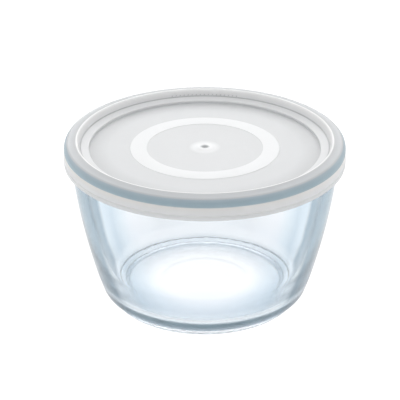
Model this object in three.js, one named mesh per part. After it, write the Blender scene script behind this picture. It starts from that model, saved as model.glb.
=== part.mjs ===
// A round glass storage container: a flared pressed-glass dish and its pull-off plastic lid.
// Millimetres, +Z up. The origin is the centre of the foot, on the surface the dish stands on.
// Both pieces are turned shapes, so each is an outline of (radius, height) revolved round Z.
import * as THREE from "three";

// Overall sizes
const LID_RADIUS = 85; // outside of the lid's skirt
const OVERALL_HEIGHT = 103.5; // crest of the lid's rim
const SEGMENTS = 64; // steps round a full turn
const CORNER_STEPS = 2; // steps round each rounded corner
const CURVE_STEPS = 3; // steps along each short curve
const WALL_STEPS = 6; // steps up the dish's flared wall

// Glass dish, outside
const FOOT_INNER_RADIUS = 53.6; // flat of the ring that the dish stands on
const FOOT_OUTER_RADIUS = 57.6;
const FOOT_SIDE_RADIUS = 58.6; // upright side of the foot ring
const FOOT_HEIGHT = 3.8;
const FOOT_EDGE = 0.5; // rounding of the ring's outer edge
const FOOT_SLOPE = 2; // how far the ring's inner wall leans
const RECESS_HEIGHT = 4.15; // underside of the base, inside the foot ring
const RECESS_FLAT_RADIUS = 34.6; // flat part of the underside
const RECESS_EDGE_RADIUS = 48.4; // where the underside turns down into the foot ring
const RECESS_EDGE_HEIGHT = 2.9;
const RECESS_ROUND = 2;
const HEEL_RADIUS = 63.9; // where the rounded heel meets the wall
const HEEL_HEIGHT = 6.9;
const HEEL_PULLS = [[61.2, 4.1], [63.2, 5.1]]; // pull points of the curve under the heel
const WALL_PULLS = [[71, 27], [78.4, 60]]; // and of the flare of the outside wall
const NECK_RADIUS = 80.6; // outside of the wall just under the rim
const NECK_HEIGHT = 89;
const RIM_RADIUS = 83.1;
const RIM_THICKNESS = 5;
const RIM_LOW = 94; // height at which the rim bead reaches its full radius
const RIM_TOP = 101.2;
const RIM_ROUND = 2.4; // rounding of the bead's upper edges
const BEAD_ROUND = 1.5; // and of the bends where it meets the wall

// Glass dish, inside
const WALL_THICKNESS = 6.6;
const FLOOR_HEIGHT = 8.7;
const FLOOR_EDGE_RADIUS = 56.6; // where the floor and the wall would meet in a sharp corner
const FLOOR_CORNER = 6.6; // how far the rounded corner reaches along the floor and the wall
const BOWL_RADIUS = 62.6; // inside of the wall where it straightens above the corner
const BOWL_HEIGHT = 27;
const BOWL_PULLS = [[72, 62], [66.6, 38]]; // pull points of the inside wall, from the neck down
const INNER_NECK_DROP = 2; // how far the inside of the neck is below the outside

// Plastic lid
const LID_THICKNESS = 1.4;
const LID_CLEARANCE = 0.3; // gap between the lid and the glass rim that it sits on
const CHANNEL_ROUND = 2.4; // rounding of the bends that follow the glass bead
const CHANNEL_EDGE = 1; // rounding at the top of the channel's inner wall
const LID_FLOOR = 96.6; // sunken floor of the lid
const LID_FLOOR_RADIUS = 69.8;
const LEDGE_HEIGHT = 1.5; // sloping ledge round the floor
const LEDGE_SLOPE = 1.2;
const WELL_RADIUS = 75.2; // foot of the leaning wall round the well
const CREST_RADIUS = 76.6; // inner edge of the rim's top
const CREST_BEVEL = 0.3;
const CREST_WIDTH = 0.6;
const SHOULDER_DROP = 1.2; // how far the rim's top falls from crest to shoulder
const SHOULDER_ROUND = 4;
const SKIRT_BOTTOM = 89.7;
const HEM_HEIGHT = 2.6; // thicker band round the skirt's lower edge
const HEM_PROUD = 0.3;
const RING_OUTER_RADIUS = 45.2; // raised ring on the floor
const RING_INNER_RADIUS = 34.9;
const RING_PROUD = 0.25;
const GATE_RADIUS = 7.3; // moulding mark in the middle of the floor: a low mound with a pit in it
const GATE_PROUD = 0.45;
const GATE_SINK = 0.4; // how far the underside hangs below the mark
const GATE_ROUND = 0.8;
const PIT_RADIUS = 2.6;
const PIT_FLAT_RADIUS = 0.6;
const PIT_DEPTH = 0.8;
const PIT_ROUND = 0.4;

// Grip pad: a low patch on the inner wall of the rim, at +Y, where a fingertip pushes the lid off
const PAD_LOW = 100;
const PAD_HIGH = 102.6;
const PAD_PROUD = 0.4;
const PAD_BEVEL = 0.3;
const PAD_HALF_ANGLE = THREE.MathUtils.degToRad(17.5);
const ON_WALL = 0.1; // points this near to the wall and the band belong to the patch

// Materials
const GLASS = new THREE.MeshStandardMaterial({
  color: 0xcfdde6,
  roughness: 0.04,
  metalness: 0,
  transparent: true,
  opacity: 0.4,
});
const LID_PLASTIC = new THREE.MeshStandardMaterial({ color: 0xe2e3e6, roughness: 0.45, metalness: 0 });

// An outline is a chain of corners, each [radius, height], that may be rounded, and of long curves.
class Outline {
  constructor() {
    this.corners = [];
  }

  // A corner, rounded off over a distance of reach along both of its sides.
  to(radius, height, reach = 0) {
    this.corners.push({ at: new THREE.Vector2(radius, height), reach });
    return this;
  }

  // A curve from the last corner to (radius, height) with two pull points.
  sweep(pullA, pullB, radius, height, steps = CURVE_STEPS) {
    const curve = new THREE.CubicBezierCurve(
      this.corners.at(-1).at,
      new THREE.Vector2(...pullA),
      new THREE.Vector2(...pullB),
      new THREE.Vector2(radius, height),
    );
    for (const point of curve.getPoints(steps).slice(1)) this.to(point.x, point.y);
    return this;
  }

  points() {
    return this.corners.flatMap(({ at, reach }, i) => {
      if (reach === 0) return [at];
      const towards = (other) => {
        const length = at.distanceTo(other);
        return at.clone().lerp(other, Math.min(reach / length, 0.49));
      };
      const start = towards(this.corners[i - 1].at);
      const end = towards(this.corners[i + 1].at);
      return new THREE.QuadraticBezierCurve(start, at, end).getPoints(CORNER_STEPS);
    });
  }
}

// Revolves an outline round +Z and gives it a name and a material.
function turned(name, outline, material) {
  const geometry = new THREE.LatheGeometry(outline.points(), SEGMENTS);
  geometry.rotateX(Math.PI / 2);
  const mesh = new THREE.Mesh(geometry, material);
  mesh.name = name;
  return mesh;
}

// One pressing of glass: recessed base in a foot ring, rounded heel, flared wall and beaded rim.
function glassDish() {
  const rimInner = RIM_RADIUS - RIM_THICKNESS;
  const innerNeck = NECK_RADIUS - WALL_THICKNESS;
  const outline = new Outline()
    .to(0, RECESS_HEIGHT)
    .to(RECESS_FLAT_RADIUS, RECESS_HEIGHT)
    .to(RECESS_EDGE_RADIUS, RECESS_EDGE_HEIGHT, RECESS_ROUND)
    .to(FOOT_INNER_RADIUS - FOOT_SLOPE, FOOT_EDGE)
    .to(FOOT_INNER_RADIUS, 0)
    .to(FOOT_OUTER_RADIUS, 0)
    .to(FOOT_SIDE_RADIUS, FOOT_EDGE, FOOT_EDGE)
    .to(FOOT_SIDE_RADIUS, FOOT_HEIGHT, FOOT_EDGE)
    .sweep(...HEEL_PULLS, HEEL_RADIUS, HEEL_HEIGHT)
    .sweep(...WALL_PULLS, NECK_RADIUS, NECK_HEIGHT, WALL_STEPS)
    .to(RIM_RADIUS, RIM_LOW, BEAD_ROUND)
    .to(RIM_RADIUS, RIM_TOP, RIM_ROUND)
    .to(rimInner, RIM_TOP, RIM_ROUND)
    .to(rimInner, RIM_LOW, BEAD_ROUND)
    .to(innerNeck, NECK_HEIGHT - INNER_NECK_DROP)
    .sweep(...BOWL_PULLS, BOWL_RADIUS, BOWL_HEIGHT, WALL_STEPS)
    .to(FLOOR_EDGE_RADIUS, FLOOR_HEIGHT, FLOOR_CORNER)
    .to(0, FLOOR_HEIGHT);
  return turned("glass_dish", outline, GLASS);
}

// Radius of the leaning wall inside the lid's rim at a height.
function wellWall(height) {
  const low = LID_FLOOR + LEDGE_HEIGHT + LEDGE_SLOPE;
  const high = OVERALL_HEIGHT - CREST_BEVEL;
  return THREE.MathUtils.mapLinear(height, low, high, WELL_RADIUS, CREST_RADIUS);
}

// Draws the pad's patch of the leaning wall inwards.
function raisePad(geometry) {
  const position = geometry.getAttribute("position");
  for (let i = 0; i < position.count; i += 1) {
    const point = new THREE.Vector3().fromBufferAttribute(position, i);
    const radius = Math.hypot(point.x, point.y);
    const onWall = Math.abs(radius - wellWall(point.z)) < ON_WALL;
    const inBand = point.z > PAD_LOW - ON_WALL && point.z < PAD_HIGH + ON_WALL;
    const angle = Math.abs(Math.atan2(point.x, point.y));
    if (onWall && inBand && angle < PAD_HALF_ANGLE) {
      const drawn = 1 - PAD_PROUD / radius;
      position.setXY(i, point.x * drawn, point.y * drawn);
    }
  }
}

// One moulding of plastic: sunken floor, ledge, well wall, hollow rim over the glass bead, and skirt.
function lid() {
  const channelTop = RIM_TOP + LID_CLEARANCE;
  const channelInner = RIM_RADIUS - RIM_THICKNESS - LID_CLEARANCE;
  const skirtInner = LID_RADIUS - LID_THICKNESS;
  const skirtOuter = LID_RADIUS - HEM_PROUD;
  const underside = LID_FLOOR - LID_THICKNESS;
  const ledgeTop = LID_FLOOR + LEDGE_HEIGHT;
  const ringTop = LID_FLOOR + RING_PROUD;
  const gateTop = LID_FLOOR + GATE_PROUD;
  const hemTop = SKIRT_BOTTOM + HEM_HEIGHT;
  const shoulder = OVERALL_HEIGHT - SHOULDER_DROP;
  const outline = new Outline()
    .to(0, underside - GATE_SINK)
    .to(GATE_RADIUS, underside)
    .to(channelInner, underside, CHANNEL_ROUND)
    .to(channelInner, channelTop, CHANNEL_EDGE)
    .to(skirtInner, channelTop, CHANNEL_ROUND)
    .to(skirtInner, SKIRT_BOTTOM)
    .to(LID_RADIUS, SKIRT_BOTTOM)
    .to(LID_RADIUS, hemTop)
    .to(skirtOuter, hemTop + HEM_PROUD)
    .to(skirtOuter, shoulder, SHOULDER_ROUND)
    .to(CREST_RADIUS + CREST_WIDTH, OVERALL_HEIGHT)
    .to(CREST_RADIUS, OVERALL_HEIGHT - CREST_BEVEL)
    .to(wellWall(PAD_HIGH + PAD_BEVEL), PAD_HIGH + PAD_BEVEL)
    .to(wellWall(PAD_HIGH), PAD_HIGH)
    .to(wellWall(PAD_LOW), PAD_LOW)
    .to(wellWall(PAD_LOW - PAD_BEVEL), PAD_LOW - PAD_BEVEL)
    .to(WELL_RADIUS, ledgeTop + LEDGE_SLOPE)
    .to(LID_FLOOR_RADIUS, ledgeTop)
    .to(LID_FLOOR_RADIUS, LID_FLOOR)
    .to(RING_OUTER_RADIUS, LID_FLOOR)
    .to(RING_OUTER_RADIUS - RING_PROUD, ringTop)
    .to(RING_INNER_RADIUS + RING_PROUD, ringTop)
    .to(RING_INNER_RADIUS, LID_FLOOR)
    .to(GATE_RADIUS, LID_FLOOR)
    .to(PIT_RADIUS, gateTop, GATE_ROUND)
    .to(PIT_FLAT_RADIUS, gateTop - PIT_DEPTH, PIT_ROUND)
    .to(0, gateTop - PIT_DEPTH);
  const mesh = turned("lid", outline, LID_PLASTIC);
  raisePad(mesh.geometry);
  return mesh;
}

const container = new THREE.Group();
container.add(glassDish(), lid());

export default container;
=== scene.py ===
import math

import bmesh
import bpy
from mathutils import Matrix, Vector


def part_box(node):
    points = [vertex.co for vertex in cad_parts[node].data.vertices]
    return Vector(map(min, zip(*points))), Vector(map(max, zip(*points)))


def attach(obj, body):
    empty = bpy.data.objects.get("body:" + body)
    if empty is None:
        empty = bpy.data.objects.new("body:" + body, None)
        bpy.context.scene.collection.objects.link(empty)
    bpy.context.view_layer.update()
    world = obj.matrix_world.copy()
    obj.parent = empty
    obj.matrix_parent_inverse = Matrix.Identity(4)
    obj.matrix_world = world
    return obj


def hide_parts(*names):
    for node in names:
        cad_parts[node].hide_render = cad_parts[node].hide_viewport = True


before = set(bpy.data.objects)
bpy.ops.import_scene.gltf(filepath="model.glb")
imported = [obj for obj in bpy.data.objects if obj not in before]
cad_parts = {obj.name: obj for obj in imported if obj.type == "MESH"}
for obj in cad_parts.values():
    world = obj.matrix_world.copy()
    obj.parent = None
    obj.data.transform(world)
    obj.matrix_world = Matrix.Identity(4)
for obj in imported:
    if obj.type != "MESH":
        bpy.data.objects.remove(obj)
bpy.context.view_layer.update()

MM = 0.001
WHITE = (1, 1, 1, 1)

# ---------------------------------------------------------------------------
# Sizes in millimetres. The frame gives the outer ones.
# ---------------------------------------------------------------------------
LID_LOW, LID_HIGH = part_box("lid")
DISH_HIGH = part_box("glass_dish")[1]
LID_RADIUS = LID_HIGH.x / MM
SKIRT_BOTTOM = LID_LOW.z / MM
CREST_TOP = LID_HIGH.z / MM
GLASS_RIM_RADIUS = DISH_HIGH.x / MM
GLASS_RIM_TOP = DISH_HIGH.z / MM

# Steps of a turned piece
FOOT_PIMPLES = 45
PIMPLE_STEPS = 12  # steps round the axis from one pimple to the next
PIMPLE_WIDTH = 3  # and how many of them a pimple takes
SEGMENTS = PIMPLE_STEPS * FOOT_PIMPLES
FILLET_STEPS = 6
WALL_STEPS = 28
PATCH_SLOPE = 0.3  # how far above and below a raised patch its slope starts
ROUNDING = 0.01  # a height this close to an edge is on it

# Glass dish: recess under the base
RECESS_HEIGHT = 4.15
DISC_RADIUS = 28.4  # shallow disc in the middle of the recess
DISC_DEPTH = 0.15
DISC_SLOPE = 3
RECESS_PULLS = ((34.6, RECESS_HEIGHT), (41, 3.5))
RECESS_EDGE_RADIUS = 48.4
RECESS_EDGE_HEIGHT = 2.9

# Foot ring
FOOT_INNER_PULLS = ((50.6, 2.4), (51.2, 0))
FOOT_INNER_RADIUS = 53.6
FOOT_OUTER_RADIUS = 57.6
FOOT_SIDE_RADIUS = 58.6
FOOT_EDGE = 0.5
FOOT_TOP_RADIUS = 58.85
FOOT_HEIGHT = 3.8
PIMPLE_BAND_RADIUS = 58.7
PIMPLE_LOW = 1.4
PIMPLE_HIGH = 2.6
PIMPLE_PROUD = 0.3

# Outside of the wall
HEEL_PULLS = ((61.2, 4.1), (63.2, 5.1))
HEEL_RADIUS = 63.9
HEEL_HEIGHT = 6.9
WALL_PULLS = ((71.0, 27), (78.4, 60))
NECK_RADIUS = 80.6
NECK_HEIGHT = 89.0
WALL_THICKNESS = 6.6

# Bead round the glass rim
BEAD_FOOT_PROUD = 0.4
BEAD_FOOT = 91.0
GLASS_RIM_THICKNESS = 5.0
GLASS_RIM_LOW = 94.0
BEAD_BEND = 1.5
BEAD_ROUND = 2.4

# Inside of the bowl
INNER_NECK_DROP = 2
BOWL_PULLS = ((72.0, 62), (66.6, 38))
BOWL_RADIUS = 62.6
BOWL_HEIGHT = 27
FLOOR_EDGE_RADIUS = 56.6
FLOOR_CORNER = 6.6
INNER_FLOOR = 8.7

# Plastic lid: hollow rim and skirt
LID_THICKNESS = 1.4
LID_CLEARANCE = 0.3
CHANNEL_BEND = 2.4
SHOULDER_DROP = 1.2
SHOULDER_ROUND = 4.0
HEM_HEIGHT = 2.6
HEM_PROUD = 0.3
CREST_RADIUS = 76.6
CREST_LIP = 0.6
CREST_LIP_DROP = 0.3

# Well inside the rim
LID_FLOOR = CREST_TOP - 6.9
LID_FLOOR_RADIUS = 69.8
LEDGE_HEIGHT = 1.5
WELL_RADIUS = 75.2
WELL_FOOT = LID_FLOOR + LEDGE_HEIGHT + 1.2
WELL_TOP = CREST_TOP - CREST_LIP_DROP
PAD_LOW = 100.0
PAD_HIGH = 102.6
PAD_HALF_ANGLE = math.radians(17.5)
RIB_STEPS = 3
RIB_PROUD = 0.4

# Frosted ring, and the moulding gate with its pit
RING_OUTER_RADIUS = 45.2
RING_INNER_RADIUS = 34.9
RING_PROUD = 0.25
GATE_RADIUS = 7.3
GATE_PROUD = 0.45
GATE_UNDERSIDE_PROUD = 0.4
PIT_RADIUS = 2.6
PIT_DEPTH = 0.8
PIT_FLOOR_RADIUS = 0.6
GATE_STEPS = 8


# ---------------------------------------------------------------------------
# Turned outlines
# ---------------------------------------------------------------------------
class Outline:
    """A profile of (radius, height) in millimetres, with corners that may be rounded."""

    def __init__(self):
        self.corners = []

    def to(self, radius, height, fillet=0.0):
        self.corners.append((Vector((radius, height)), fillet))

    def sweep(self, pull_a, pull_b, radius, height, steps=WALL_STEPS):
        """A long curve from the last corner to (radius, height) with two pull points."""
        start, end = self.corners[-1][0], Vector((radius, height))
        a, b = Vector(pull_a), Vector(pull_b)
        for i in range(1, steps + 1):
            t = i / steps
            s = 1 - t
            point = start * s**3 + a * (3 * s * s * t) + b * (3 * s * t * t) + end * t**3
            self.corners.append((point, 0.0))

    def points(self):
        """The profile's points, where a fillet is a curve that starts and ends that far from its corner."""
        made = []
        for i, (corner, fillet) in enumerate(self.corners):
            if not fillet:
                made.append(corner)
                continue
            before = self.corners[i - 1][0] - corner
            after = self.corners[i + 1][0] - corner
            back = corner + before.normalized() * min(fillet, 0.49 * before.length)
            on = corner + after.normalized() * min(fillet, 0.49 * after.length)
            for k in range(FILLET_STEPS + 1):
                t = k / FILLET_STEPS
                made.append(back * (1 - t) ** 2 + corner * (2 * t * (1 - t)) + on * t * t)
        return made


def turned(name, outline, shape):
    """Revolves an outline round Z. shape(radius, height, angle) may move each point, in millimetres."""
    mesh = bmesh.new()
    rings = []
    for radius, height in outline.points():
        if radius < 1e-6:
            rings.append([mesh.verts.new((0, 0, height * MM))])
            continue
        ring = []
        for k in range(SEGMENTS):
            angle = 2 * math.pi * k / SEGMENTS
            r, z = shape(radius, height, angle)
            ring.append(mesh.verts.new((r * math.cos(angle) * MM, r * math.sin(angle) * MM, z * MM)))
        rings.append(ring)
    for low, high in zip(rings, rings[1:]):
        for k in range(SEGMENTS):
            n = (k + 1) % SEGMENTS
            if len(low) == 1:
                mesh.faces.new((low[0], high[k], high[n]))
            elif len(high) == 1:
                mesh.faces.new((low[k], high[0], low[n]))
            else:
                mesh.faces.new((low[k], high[k], high[n], low[n]))
    bmesh.ops.recalc_face_normals(mesh, faces=mesh.faces)
    for face in mesh.faces:
        face.smooth = True
    data = bpy.data.meshes.new(name)
    mesh.to_mesh(data)
    mesh.free()
    made = bpy.data.objects.new(name, data)
    bpy.context.scene.collection.objects.link(made)
    return made


def step_at(angle):
    """Which step round the axis an angle is."""
    return round(angle / (2 * math.pi) * SEGMENTS)


# ---------------------------------------------------------------------------
# Glass dish
# ---------------------------------------------------------------------------
def dish_outline():
    """From the middle of the underside, up the outside, over the rim and down to the middle of the floor."""
    rim_inner = GLASS_RIM_RADIUS - GLASS_RIM_THICKNESS
    inner_neck = NECK_RADIUS - WALL_THICKNESS
    outline = Outline()
    outline.to(0, RECESS_HEIGHT + DISC_DEPTH)
    outline.to(DISC_RADIUS - DISC_SLOPE, RECESS_HEIGHT + DISC_DEPTH, fillet=1)
    outline.to(DISC_RADIUS, RECESS_HEIGHT, fillet=1)
    outline.sweep(*RECESS_PULLS, RECESS_EDGE_RADIUS, RECESS_EDGE_HEIGHT, steps=16)
    outline.sweep(*FOOT_INNER_PULLS, FOOT_INNER_RADIUS, 0, steps=10)
    outline.to(FOOT_OUTER_RADIUS, 0)
    outline.to(FOOT_SIDE_RADIUS, FOOT_EDGE, fillet=FOOT_EDGE)
    for height in (PIMPLE_LOW - PATCH_SLOPE, PIMPLE_LOW, PIMPLE_HIGH, PIMPLE_HIGH + PATCH_SLOPE):
        outline.to(PIMPLE_BAND_RADIUS, height)
    outline.to(FOOT_TOP_RADIUS, FOOT_HEIGHT, fillet=0.8)
    outline.sweep(*HEEL_PULLS, HEEL_RADIUS, HEEL_HEIGHT, steps=12)
    outline.sweep(*WALL_PULLS, NECK_RADIUS, NECK_HEIGHT)
    outline.to(NECK_RADIUS + BEAD_FOOT_PROUD, BEAD_FOOT, fillet=BEAD_BEND)
    outline.to(GLASS_RIM_RADIUS, GLASS_RIM_LOW, fillet=BEAD_BEND)
    outline.to(GLASS_RIM_RADIUS, GLASS_RIM_TOP, fillet=BEAD_ROUND)
    outline.to(rim_inner, GLASS_RIM_TOP, fillet=BEAD_ROUND)
    outline.to(rim_inner, GLASS_RIM_LOW, fillet=BEAD_BEND)
    outline.to(inner_neck, NECK_HEIGHT - INNER_NECK_DROP)
    outline.sweep(*BOWL_PULLS, BOWL_RADIUS, BOWL_HEIGHT)
    outline.to(FLOOR_EDGE_RADIUS, INNER_FLOOR, fillet=FLOOR_CORNER)
    outline.to(0, INNER_FLOOR)
    return outline


def foot_pimples(radius, height, angle):
    """A ring of low pimples round the side of the foot."""
    in_band = radius > FOOT_SIDE_RADIUS and PIMPLE_LOW - ROUNDING < height < PIMPLE_HIGH + ROUNDING
    if in_band and step_at(angle) % PIMPLE_STEPS < PIMPLE_WIDTH:
        radius += PIMPLE_PROUD
    return radius, height


def build_dish():
    dish = turned("glass_dish_fine", dish_outline(), foot_pimples)
    dish.data.materials.append(clear_glass())
    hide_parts("glass_dish")
    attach(dish, "dish")


# ---------------------------------------------------------------------------
# Plastic lid
# ---------------------------------------------------------------------------
def lid_outline():
    """From the middle of the underside, through the hollow rim, over the skirt and back along the top."""
    channel_top = GLASS_RIM_TOP + LID_CLEARANCE
    channel_inner = GLASS_RIM_RADIUS - GLASS_RIM_THICKNESS - LID_CLEARANCE
    skirt_inner = LID_RADIUS - LID_THICKNESS
    underside = LID_FLOOR - LID_THICKNESS
    hem_top = SKIRT_BOTTOM + HEM_HEIGHT
    skirt_outer = LID_RADIUS - HEM_PROUD
    ring_top = LID_FLOOR + RING_PROUD
    gate_top = LID_FLOOR + GATE_PROUD
    pit_floor = gate_top - PIT_DEPTH
    outline = Outline()
    outline.to(0, underside - GATE_UNDERSIDE_PROUD)
    outline.to(GATE_RADIUS, underside)
    outline.to(channel_inner, underside, fillet=CHANNEL_BEND)
    outline.to(channel_inner, channel_top, fillet=1.0)
    outline.to(skirt_inner, channel_top, fillet=CHANNEL_BEND)
    outline.to(skirt_inner, SKIRT_BOTTOM, fillet=0.3)
    outline.to(LID_RADIUS, SKIRT_BOTTOM, fillet=0.4)
    outline.to(LID_RADIUS, hem_top, fillet=0.2)
    outline.to(skirt_outer, hem_top + HEM_PROUD, fillet=0.2)
    outline.to(skirt_outer, CREST_TOP - SHOULDER_DROP, fillet=SHOULDER_ROUND)
    outline.to(CREST_RADIUS + CREST_LIP, CREST_TOP, fillet=0.5)
    outline.to(CREST_RADIUS, WELL_TOP, fillet=0.5)
    for height in (PAD_HIGH + PATCH_SLOPE, PAD_HIGH, PAD_LOW, PAD_LOW - PATCH_SLOPE):
        outline.to(well_wall(height), height)
    outline.to(WELL_RADIUS, WELL_FOOT, fillet=0.4)
    outline.to(LID_FLOOR_RADIUS, LID_FLOOR + LEDGE_HEIGHT, fillet=0.3)
    outline.to(LID_FLOOR_RADIUS, LID_FLOOR, fillet=0.4)
    outline.to(RING_OUTER_RADIUS, LID_FLOOR, fillet=0.1)
    outline.to(RING_OUTER_RADIUS - RING_PROUD, ring_top, fillet=0.1)
    outline.to(RING_INNER_RADIUS + RING_PROUD, ring_top, fillet=0.1)
    outline.to(RING_INNER_RADIUS, LID_FLOOR, fillet=0.1)
    outline.to(GATE_RADIUS, LID_FLOOR)
    gate_pulls = ((GATE_RADIUS - 2, LID_FLOOR), (PIT_RADIUS + 2, gate_top))
    outline.sweep(*gate_pulls, PIT_RADIUS, gate_top, GATE_STEPS)
    pit_pulls = ((PIT_RADIUS - 0.6, gate_top), (PIT_RADIUS - 0.9, pit_floor))
    outline.sweep(*pit_pulls, PIT_FLOOR_RADIUS, pit_floor, GATE_STEPS)
    outline.to(0, pit_floor)
    return outline


def well_wall(height):
    """Radius of the leaning wall inside the lid's rim at a height."""
    share = (height - WELL_FOOT) / (WELL_TOP - WELL_FOOT)
    return WELL_RADIUS + share * (CREST_RADIUS - WELL_RADIUS)


def pad_ribs(radius, height, angle):
    """Upright ribs moulded on the rim's inner wall at the back, where a fingertip pushes the lid off."""
    in_band = PAD_LOW - ROUNDING < height < PAD_HIGH + ROUNDING
    on_wall = in_band and abs(radius - well_wall(height)) < 0.1
    if on_wall and abs(angle - math.pi / 2) < PAD_HALF_ANGLE and step_at(angle) % RIB_STEPS == 0:
        radius -= RIB_PROUD
    return radius, height


def build_lid():
    lid = turned("lid_fine", lid_outline(), pad_ribs)
    lid.data.materials.append(lid_plastic())
    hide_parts("lid")
    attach(lid, "lid")


# ---------------------------------------------------------------------------
# Materials
# ---------------------------------------------------------------------------
class Tree:
    """Short ways to add nodes to a node tree. A value or a socket may feed any input."""

    def __init__(self, owner):
        owner.use_nodes = True
        self.nodes = owner.node_tree.nodes
        self.links = owner.node_tree.links

    def feed(self, socket, value):
        if isinstance(value, bpy.types.NodeSocket):
            self.links.new(value, socket)
        else:
            socket.default_value = value

    def math(self, operation, a, b=0.0):
        node = self.nodes.new("ShaderNodeMath")
        node.operation = operation
        self.feed(node.inputs[0], a)
        self.feed(node.inputs[1], b)
        return node.outputs[0]

    def mix(self, factor, a, b, blend="MIX"):
        """A colour between two colours."""
        node = self.nodes.new("ShaderNodeMix")
        node.data_type = "RGBA"
        node.blend_type = blend
        self.feed(node.inputs["Factor"], factor)
        self.feed(node.inputs[6], a)
        self.feed(node.inputs[7], b)
        return node.outputs[2]

    def between(self, factor, a, b):
        """A number between two numbers."""
        node = self.nodes.new("ShaderNodeMix")
        self.feed(node.inputs["Factor"], factor)
        self.feed(node.inputs[2], a)
        self.feed(node.inputs[3], b)
        return node.outputs[0]

    def remap(self, value, low, high, to_low=0.0, to_high=1.0):
        node = self.nodes.new("ShaderNodeMapRange")
        for socket, number in zip(node.inputs, (value, low, high, to_low, to_high)):
            self.feed(socket, number)
        return node.outputs[0]

    def split(self, name):
        """X, Y and Z of the texture coordinate of this name."""
        node = self.nodes.new("ShaderNodeSeparateXYZ")
        self.links.new(self.nodes.new("ShaderNodeTexCoord").outputs[name], node.inputs[0])
        return node.outputs


class Paint(Tree):
    """A new Principled material."""

    def __init__(self, name):
        self.material = bpy.data.materials.new(name)
        super().__init__(self.material)
        self.shader = self.nodes["Principled BSDF"]
        self.output = self.nodes["Material Output"]

    def set(self, **values):
        for name, value in values.items():
            self.feed(self.shader.inputs[name.replace("_", " ")], value)

    def ramp(self, factor, stops):
        node = self.nodes.new("ShaderNodeValToRGB")
        elements = node.color_ramp.elements
        while len(elements) < len(stops):
            elements.new(1.0)
        for element, (place, colour) in zip(elements, stops):
            element.position = place
            element.color = colour
        self.feed(node.inputs["Fac"], factor)
        return node.outputs["Color"]

    def ramp_along(self, length, span, stops):
        """A ramp whose stops are in millimetres along a length that runs from 0 to span."""
        share = self.math("DIVIDE", length, span)
        return self.ramp(share, [(mm / span, colour) for mm, colour in stops])

    def noise(self, scale, detail=2.0):
        node = self.nodes.new("ShaderNodeTexNoise")
        node.inputs["Scale"].default_value = scale
        node.inputs["Detail"].default_value = detail
        place = self.nodes.new("ShaderNodeTexCoord").outputs["Object"]
        self.links.new(place, node.inputs["Vector"])
        return node.outputs[0]

    def radius_and_height(self):
        """How far the point is from the axis and above the foot, in millimetres."""
        x, y, z = self.split("Object")
        square = self.math("ADD", self.math("MULTIPLY", x, x), self.math("MULTIPLY", y, y))
        return self.math("DIVIDE", self.math("SQRT", square), MM), self.math("DIVIDE", z, MM)

    def bump(self, height, strength, distance):
        node = self.nodes.new("ShaderNodeBump")
        self.feed(node.inputs["Strength"], strength)
        node.inputs["Distance"].default_value = distance
        self.links.new(height, node.inputs["Height"])
        return node.outputs[0]


def grey(value, warmth=0.0):
    """A near-neutral colour. Warmth above 0 leans to beige and below 0 to blue."""
    return (value * (1 + warmth), value, value * (1 - warmth), 1)


# Painted shade: how the glass darkens as it turns away from the viewer, in the wall and in the base,
# standing in for the dark room seen through the glass
GLASS_WALL_PAINTED_SHADE = [
    (0.0, (0.88, 0.9, 0.92, 1)),
    (0.03, (0.82, 0.85, 0.88, 1)),
    (0.1, (0.76, 0.79, 0.82, 1)),
    (0.16, (0.83, 0.86, 0.89, 1)),
    (0.3, (0.85, 0.88, 0.92, 1)),
    (0.37, (0.74, 0.82, 0.88, 1)),
    (0.46, (0.58, 0.69, 0.78, 1)),
    (0.52, (0.74, 0.83, 0.9, 1)),
    (0.59, (0.66, 0.77, 0.85, 1)),
    (0.65, (0.1, 0.18, 0.25, 1)),
    (1.0, (0.03, 0.08, 0.13, 1)),
]
GLASS_BASE_PAINTED_SHADE = [
    (0.0, WHITE),
    (0.54, (0.97, 0.985, 1, 1)),
    (0.62, (0.7, 0.78, 0.85, 1)),
    (1.0, (0.4, 0.5, 0.6, 1)),
]

# Painted shade of the inner corner by radius, in millimetres, standing in for the ring of shade under the
# thick corner seen through the base
INNER_CORNER_PAINTED_SHADE = [
    (0, WHITE),
    (31, WHITE),
    (36, (0.86, 0.89, 0.92, 1)),
    (41, (0.7, 0.77, 0.83, 1)),
    (48, (0.6, 0.68, 0.76, 1)),
    (53, (0.62, 0.7, 0.77, 1)),
    (58, (0.88, 0.92, 0.96, 1)),
    (64, WHITE),
]

# Painted shade of the outside by height, in millimetres: edge and side of the foot, heel, thick base, wall;
# a painted shadow line along the foot's edge and a painted dark band of shade round the heel
HEEL_TOP = 40.0
OUTER_HEEL_PAINTED_SHADE = [
    (0, (0.34, 0.43, 0.5, 1)),
    (0.9, (0.34, 0.43, 0.5, 1)),
    (1.3, (0.95, 0.97, 1, 1)),
    (3.9, (0.95, 0.97, 1, 1)),
    (4.8, (0.36, 0.46, 0.54, 1)),
    (7.0, (0.26, 0.35, 0.43, 1)),
    (8.2, (0.13, 0.2, 0.25, 1)),
    (9.2, (0.07, 0.13, 0.17, 1)),
    (10.8, (0.08, 0.14, 0.18, 1)),
    (12.0, (0.62, 0.71, 0.78, 1)),
    (14.0, (0.84, 0.89, 0.93, 1)),
    (18.0, (0.9, 0.94, 0.97, 1)),
    (21.0, (0.78, 0.85, 0.91, 1)),
    (28.0, (0.84, 0.9, 0.95, 1)),
    (HEEL_TOP, WHITE),
]

# A slanted line up the middle of the wall, between its inner and outer face
MIDDLE_LEAN = 0.35
MIDDLE_START = 56.5
MIDDLE_END = 57.5


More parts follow.
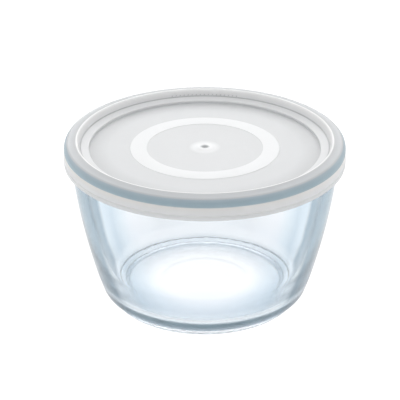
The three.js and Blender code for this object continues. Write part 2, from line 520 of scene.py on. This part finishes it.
def clear_glass():
    paint = Paint("clear_glass")
    facing = paint.nodes.new("ShaderNodeLayerWeight")
    facing.inputs["Blend"].default_value = 0.5
    # Painted shade by facing angle, one ramp for the wall and one for the base
    wall_painted_shade = paint.ramp(facing.outputs["Facing"], GLASS_WALL_PAINTED_SHADE)
    base_painted_shade = paint.ramp(facing.outputs["Facing"], GLASS_BASE_PAINTED_SHADE)
    radius, height = paint.radius_and_height()
    facing_painted_shade = paint.mix(paint.remap(height, INNER_FLOOR + 2, INNER_FLOOR + 8), base_painted_shade, wall_painted_shade)
    # Painted shade of the inner corner, by radius
    corner = paint.ramp_along(radius, NECK_RADIUS, INNER_CORNER_PAINTED_SHADE)
    # Painted shade of the foot's edge and the heel, by height
    heel_painted_shade = paint.ramp_along(height, HEEL_TOP, OUTER_HEEL_PAINTED_SHADE)
    from_axis = paint.math("SUBTRACT", radius, paint.math("MULTIPLY", height, MIDDLE_LEAN))
    # The inner corner's painted shade inside the slanted line, the heel's painted shade outside it
    place = paint.mix(paint.remap(from_axis, MIDDLE_START, MIDDLE_END), corner, heel_painted_shade)
    leaving = paint.nodes.new("ShaderNodeNewGeometry").outputs["Backfacing"]
    # Light takes the tint and the painted shade as it enters the glass, and none as it leaves.
    tint_and_painted_shade = paint.mix(leaving, paint.mix(1.0, facing_painted_shade, place, "MULTIPLY"), WHITE)
    pressed = paint.math("MULTIPLY", paint.remap(height, 34, 20), 0.2)
    polish = paint.remap(paint.noise(220, 3), 0.35, 0.7, 0.0, 0.02)
    waviness = paint.bump(paint.noise(38), paint.remap(height, 15, 40, 0.0, 0.08), MM)
    paint.set(
        Base_Color=tint_and_painted_shade,
        Roughness=paint.math("ADD", polish, pressed),
        Normal=waviness,
        Transmission_Weight=1.0,
        IOR=1.47,
    )
    body = paint.nodes.new("ShaderNodeVolumeAbsorption")
    body.inputs["Color"].default_value = (0.0, 0.22, 0.36, 1)
    body.inputs["Density"].default_value = 3
    paint.links.new(body.outputs[0], paint.output.inputs["Volume"])
    return paint.material


# Colour of the lid's top by radius, in millimetres: pit, gate, floor, ledge, well, crest, shoulder; painted
# shade in the pit, lighter round the gate, painted shade at the floor's edge and at the well's foot, a
# painted highlight on the crest, and painted shade on the shoulder where the glass rim shows through
LID_TOP_WITH_PAINTED_LIGHT = [
    # Painted shade in the pit
    (0, grey(0.3, -0.02)),
    (PIT_RADIUS - 0.8, grey(0.45, -0.02)),
    (PIT_RADIUS + 0.6, grey(0.82, -0.01)),
    (GATE_RADIUS - 1, grey(0.74, -0.01)),
    (GATE_RADIUS + 2.5, grey(0.59, -0.01)),
    # Painted shade on the floor's edge, darker towards the well wall
    (LID_FLOOR_RADIUS - 12, grey(0.59, -0.01)),
    (LID_FLOOR_RADIUS - 0.5, grey(0.5, -0.01)),
    (LID_FLOOR_RADIUS + 0.3, grey(0.7, -0.01)),
    (WELL_RADIUS - 0.9, grey(0.72, -0.01)),
    # Painted dark line of shade at the well's foot
    (WELL_RADIUS - 0.3, grey(0.34, -0.02)),
    (WELL_RADIUS + 0.1, grey(0.9, -0.01)),
    # Painted highlight along the crest
    (CREST_RADIUS - 0.3, grey(0.92)),
    (CREST_RADIUS, grey(0.92)),
    (CREST_RADIUS + 0.8, grey(0.94)),
    # Painted shade on the shoulder, where the glass rim shows through the plastic
    (CREST_RADIUS + 1.2, grey(0.5, -0.02)),
    (80, grey(0.56, -0.03)),
    (82, grey(0.64, -0.03)),
]

# Colour of the lid's side, from 0 at the skirt's edge to 1 at the shoulder: hem, skirt, glass bead,
# shoulder; a painted shadow line at the skirt's edge, painted shade on the hem, painted shade where the
# glass bead shows through, and painted shade on the shoulder
LID_SIDE_WITH_PAINTED_SHADE = [
    # Painted shadow line along the skirt's edge, then painted shade on the hem
    (0.0, grey(0.3, -0.03)),
    (0.05, grey(0.6, -0.02)),
    (0.17, grey(0.62, -0.02)),
    (0.2, grey(0.6, -0.01)),
    (0.25, grey(0.94)),
    (0.61, (0.92, 0.89, 0.83, 1)),
    # Painted shade where the glass bead shows through the plastic
    (0.66, (0.31, 0.41, 0.47, 1)),
    (0.84, (0.31, 0.41, 0.47, 1)),
    # Painted shade on the shoulder
    (0.96, (0.36, 0.44, 0.5, 1)),
    (1.0, grey(0.55, -0.03)),
]
SIDE_START = 82.0
SIDE_END = 82.5
RING_FADE = 0.4


def lid_plastic():
    paint = Paint("lid_plastic")
    radius, height = paint.radius_and_height()
    top_with_painted_light = paint.ramp_along(radius, LID_RADIUS, LID_TOP_WITH_PAINTED_LIGHT)
    side_with_painted_shade = paint.ramp(paint.remap(height, SKIRT_BOTTOM, CREST_TOP - SHOULDER_DROP), LID_SIDE_WITH_PAINTED_SHADE)
    # The top's and the side's colours, with their painted shade and highlight
    colour = paint.mix(paint.remap(radius, SIDE_START, SIDE_END), top_with_painted_light, side_with_painted_shade)
    in_ring = paint.math(
        "MULTIPLY",
        paint.remap(radius, RING_INNER_RADIUS, RING_INNER_RADIUS + RING_FADE),
        paint.remap(radius, RING_OUTER_RADIUS, RING_OUTER_RADIUS - RING_FADE),
    )
    paint.set(
        Base_Color=paint.mix(in_ring, colour, grey(0.76, -0.01)),
        Roughness=paint.remap(paint.noise(260), 0.3, 0.7, 0.36, 0.44),
        Normal=paint.bump(paint.noise(1500), 0.15, 0.2 * MM),
        Subsurface_Weight=1.0,
        Subsurface_Radius=(1.0, 1.0, 1.0),
        Subsurface_Scale=0.006,
        IOR=1.5,
    )
    return paint.material


# ---------------------------------------------------------------------------
# Studio, in metres and degrees
# ---------------------------------------------------------------------------
STUDIO_FLOOR_RADIUS = 6
STUDIO_FLOOR_GAP = 0.0002

CAMERA_TARGET = Vector((-0.0029, 0, 0.061))
CAMERA_DISTANCE = 0.906
CAMERA_ELEVATION = math.radians(26.3)
CAMERA_LENS = 132.7


def floor():
    place = (0, 0, -STUDIO_FLOOR_GAP)
    bpy.ops.mesh.primitive_circle_add(
        vertices=128, radius=STUDIO_FLOOR_RADIUS, fill_type="NGON", location=place
    )
    made = bpy.context.object
    made.name = "studio_floor"
    paint = Paint("studio_floor")
    paint.set(
        Base_Color=grey(0.05),
        Roughness=0.9,
        Specular_IOR_Level=0.0,
        Emission_Color=WHITE,
        Emission_Strength=1.09,
    )
    made.data.materials.append(paint.material)


def area_light(name, place, target, size, power):
    data = bpy.data.lights.new(name, "AREA")
    data.shape = "RECTANGLE"
    data.size, data.size_y = size
    data.energy = power
    made = bpy.data.objects.new(name, data)
    made.location = place
    made.rotation_euler = (Vector(target) - Vector(place)).to_track_quat("-Z", "Y").to_euler()
    bpy.context.scene.collection.objects.link(made)


def studio():
    """A white room: pale overhead, greyer on the viewer's side, and plain white behind the object."""
    world = bpy.data.worlds.new("studio")
    bpy.context.scene.world = world
    room = Tree(world)
    _, y, z = room.split("Generated")
    level = room.remap(y, -0.9, 0.2, 0.55, 1.0)
    bright = room.between(room.remap(z, 0.2, 0.9), level, 1.0)
    seen = room.nodes.new("ShaderNodeLightPath").outputs["Is Camera Ray"]
    background = room.nodes["Background"]
    background.inputs["Color"].default_value = WHITE
    room.feed(background.inputs["Strength"], room.between(seen, bright, 1.0))


def camera():
    data = bpy.data.cameras.new("camera")
    data.lens = CAMERA_LENS
    data.sensor_width = 36
    data.clip_end = 50
    made = bpy.data.objects.new("camera", data)
    back = Vector((0, -math.cos(CAMERA_ELEVATION), math.sin(CAMERA_ELEVATION)))
    made.location = CAMERA_TARGET + back * CAMERA_DISTANCE
    made.rotation_euler = (math.pi / 2 - CAMERA_ELEVATION, 0, 0)
    bpy.context.scene.collection.objects.link(made)
    bpy.context.scene.camera = made


def quality():
    """Plain colours, and enough bounces for light to find its way through the thick glass."""
    scene = bpy.context.scene
    scene.view_settings.view_transform = "Standard"
    scene.view_settings.look = "None"
    scene.cycles.max_bounces = 48
    scene.cycles.glossy_bounces = 32
    scene.cycles.transmission_bounces = 32
    scene.cycles.use_denoising = True


camera()
area_light("back_softbox", place=(0.0, 0.75, 0.42), target=(0, 0, 0.08), size=(0.9, 0.2), power=1.3)
build_dish()
build_lid()
floor()
studio()
quality()
